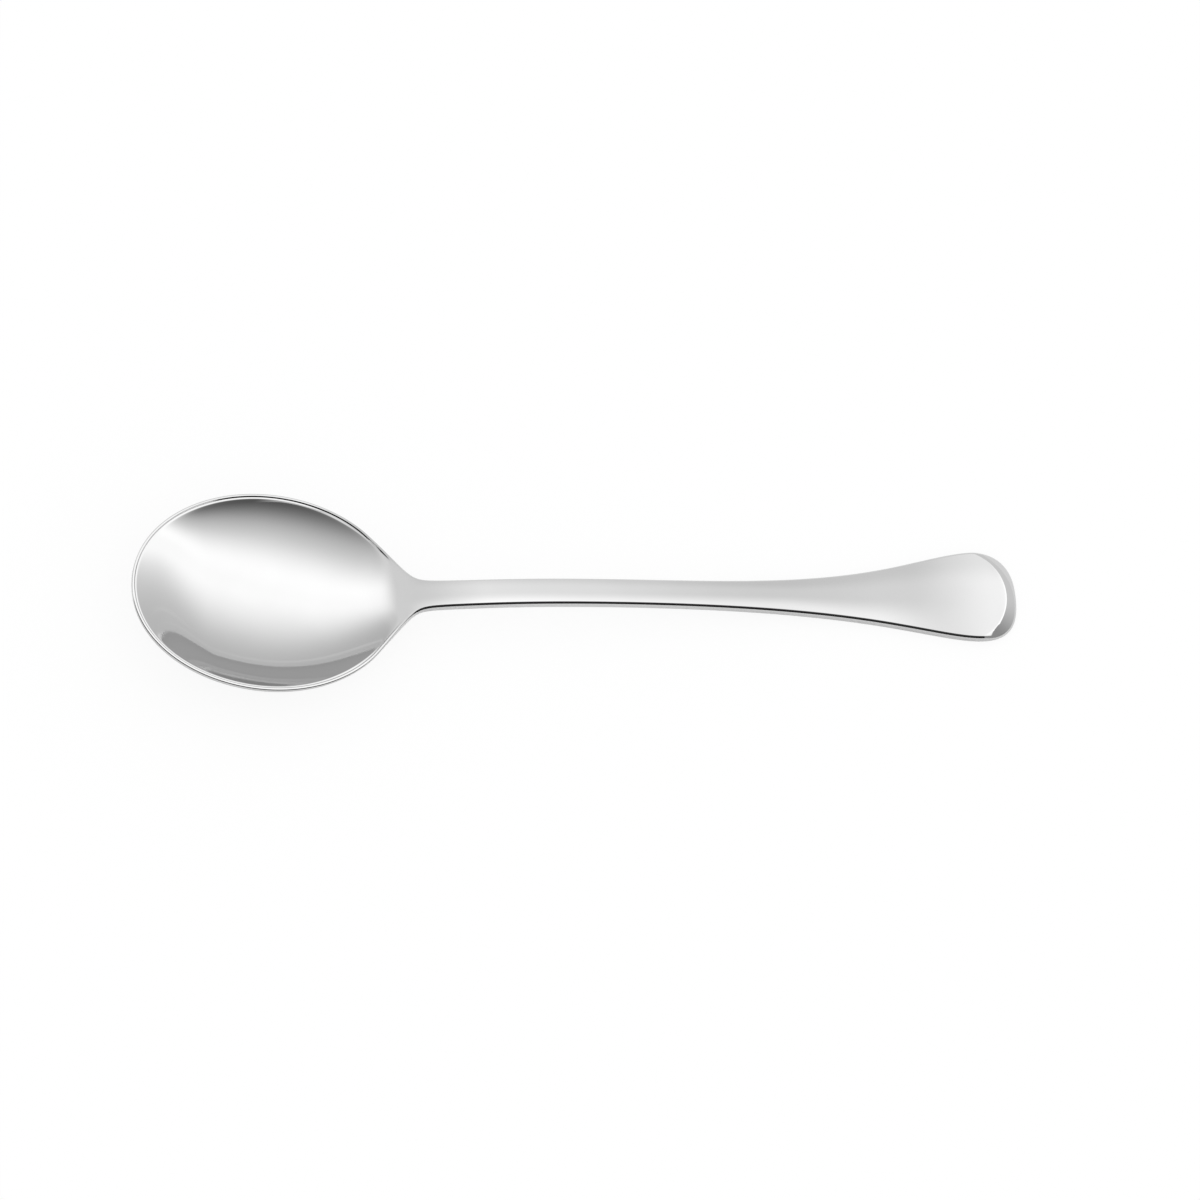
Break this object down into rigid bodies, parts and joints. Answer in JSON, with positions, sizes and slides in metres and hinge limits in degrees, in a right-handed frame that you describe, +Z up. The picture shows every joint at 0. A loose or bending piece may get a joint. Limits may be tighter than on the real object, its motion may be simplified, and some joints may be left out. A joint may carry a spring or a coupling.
{
  "type": "serving spoon",
  "caption": "Polished steel serving spoon with an egg-shaped bowl, a slim arched stem and a handle that flares to a rounded, bevelled end.",
  "frame": {"origin": "on the table under the middle of the spoon's length and width, with the spoon lying as it rests", "axes": "+X from the tip of the bowl to the end of the handle, +Z up out of the open bowl, +Y across the spoon"},
  "size_m": [0.225, 0.0516, 0.0157],
  "materials": {
    "polished_steel": "polished"
  },
  "bodies": {
    "root": {"spoon": "polished_steel"}
  },
  "joints": []
}
